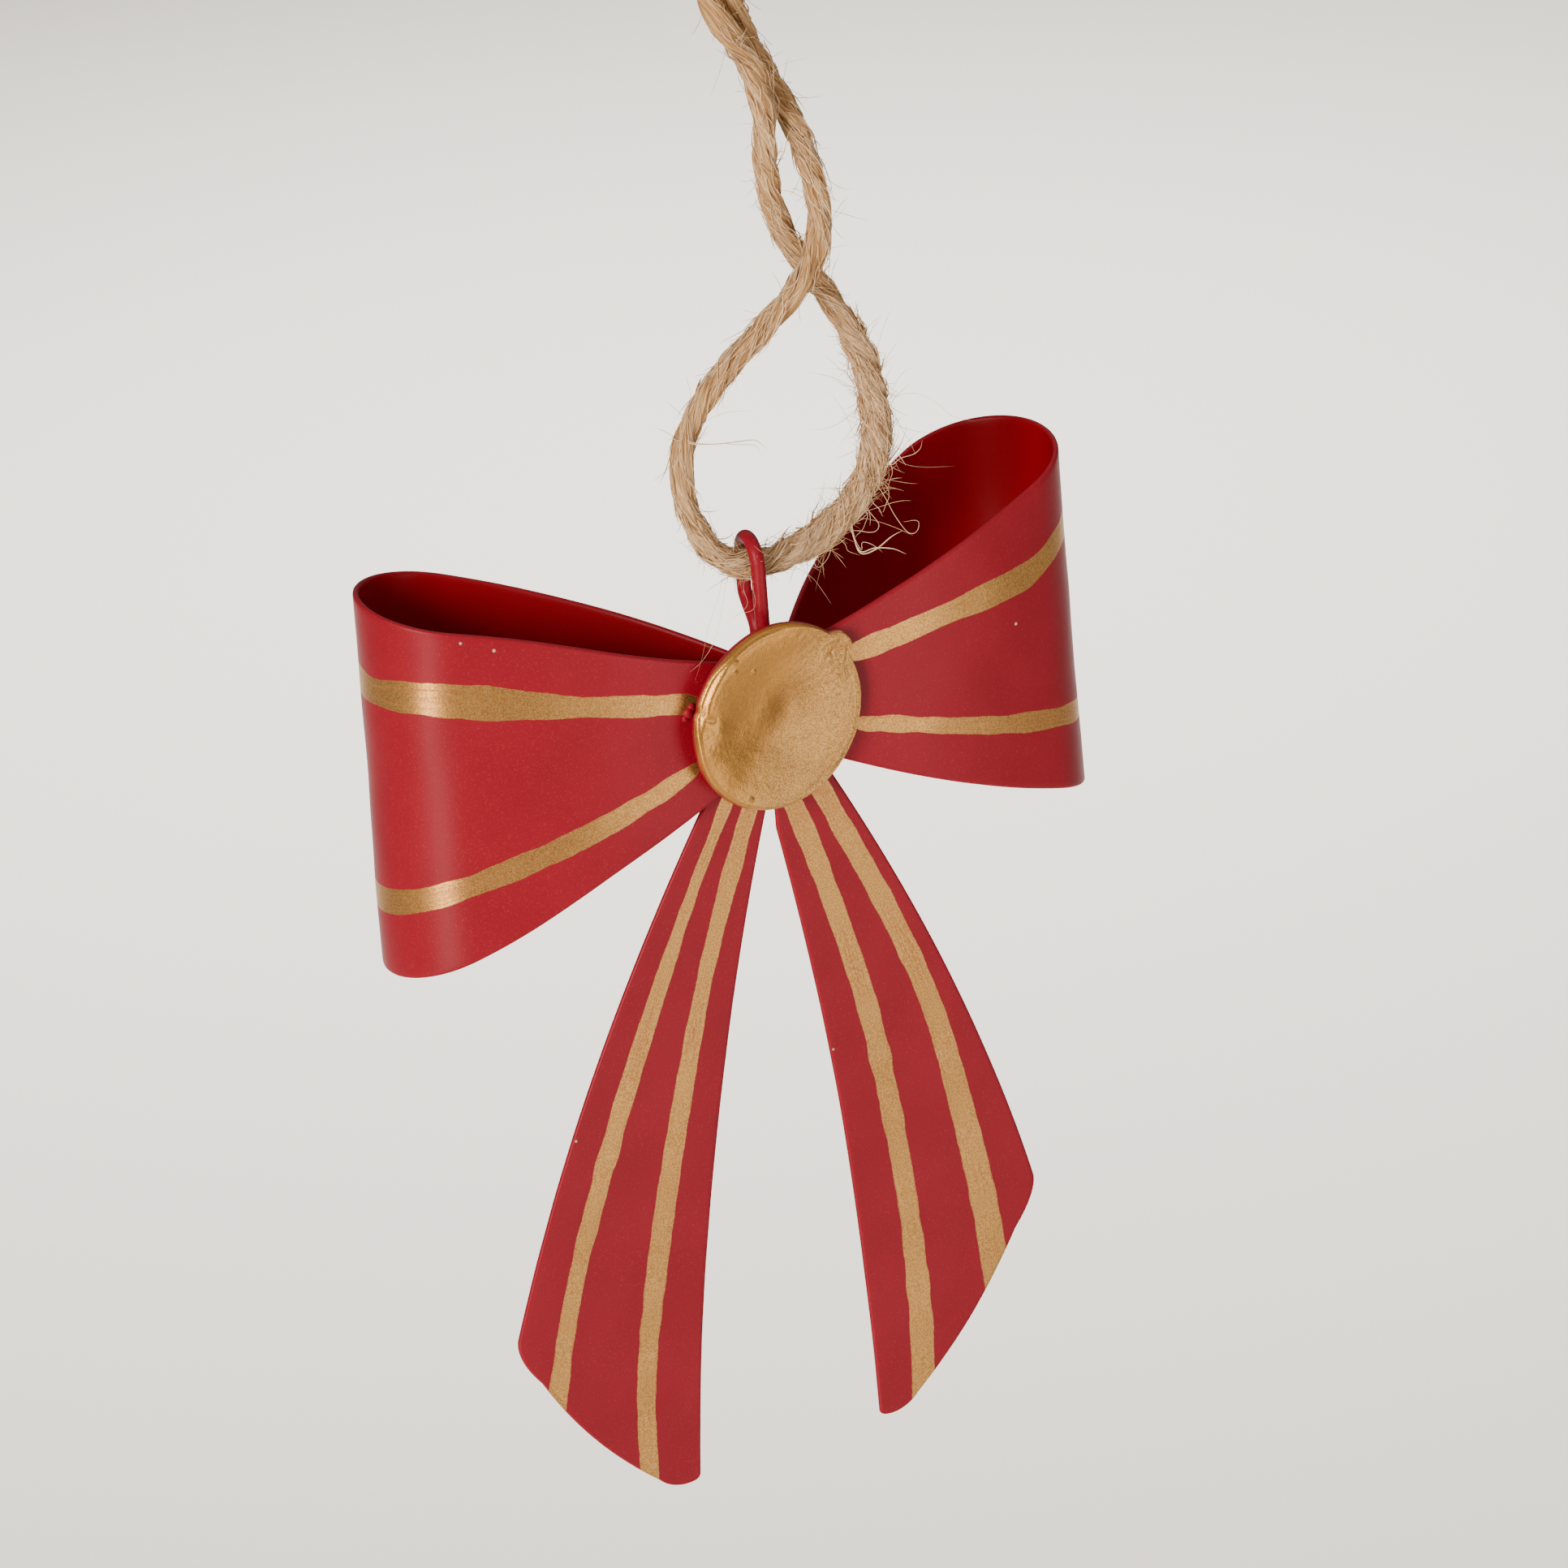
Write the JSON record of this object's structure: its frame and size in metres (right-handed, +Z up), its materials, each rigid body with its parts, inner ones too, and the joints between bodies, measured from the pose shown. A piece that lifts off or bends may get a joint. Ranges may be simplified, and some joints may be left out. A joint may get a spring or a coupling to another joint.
{
  "type": "metal ribbon ornament",
  "caption": "Hanging bow ornament of red painted sheet metal with gold stripes, a gold dished centre disc, a wire eye and a loop of natural twine.",
  "frame": {"origin": "where the twine loop is hung up, just under its knot; the wire eye hangs below it and a little to its left", "axes": "+Z up along the hanging twine, -Y towards the viewer of the bow's face, +X to the bow's right in that view"},
  "size_m": [0.0649, 0.021, 0.1435],
  "materials": {
    "red_paint": "satin red paint with fine speckle, and hand-painted gold stripes on loops and tails",
    "gold_paint": "satin granular metallic gold paint",
    "twine": "natural twisted jute with loose fibres"
  },
  "bodies": {
    "root": {"left_loop": "red_paint", "right_loop": "red_paint", "left_tail": "red_paint", "right_tail": "red_paint", "centre_disc": "gold_paint", "hanging_eye": "red_paint", "twine_cord": "twine", "cord_knot": "twine"}
  },
  "joints": []
}
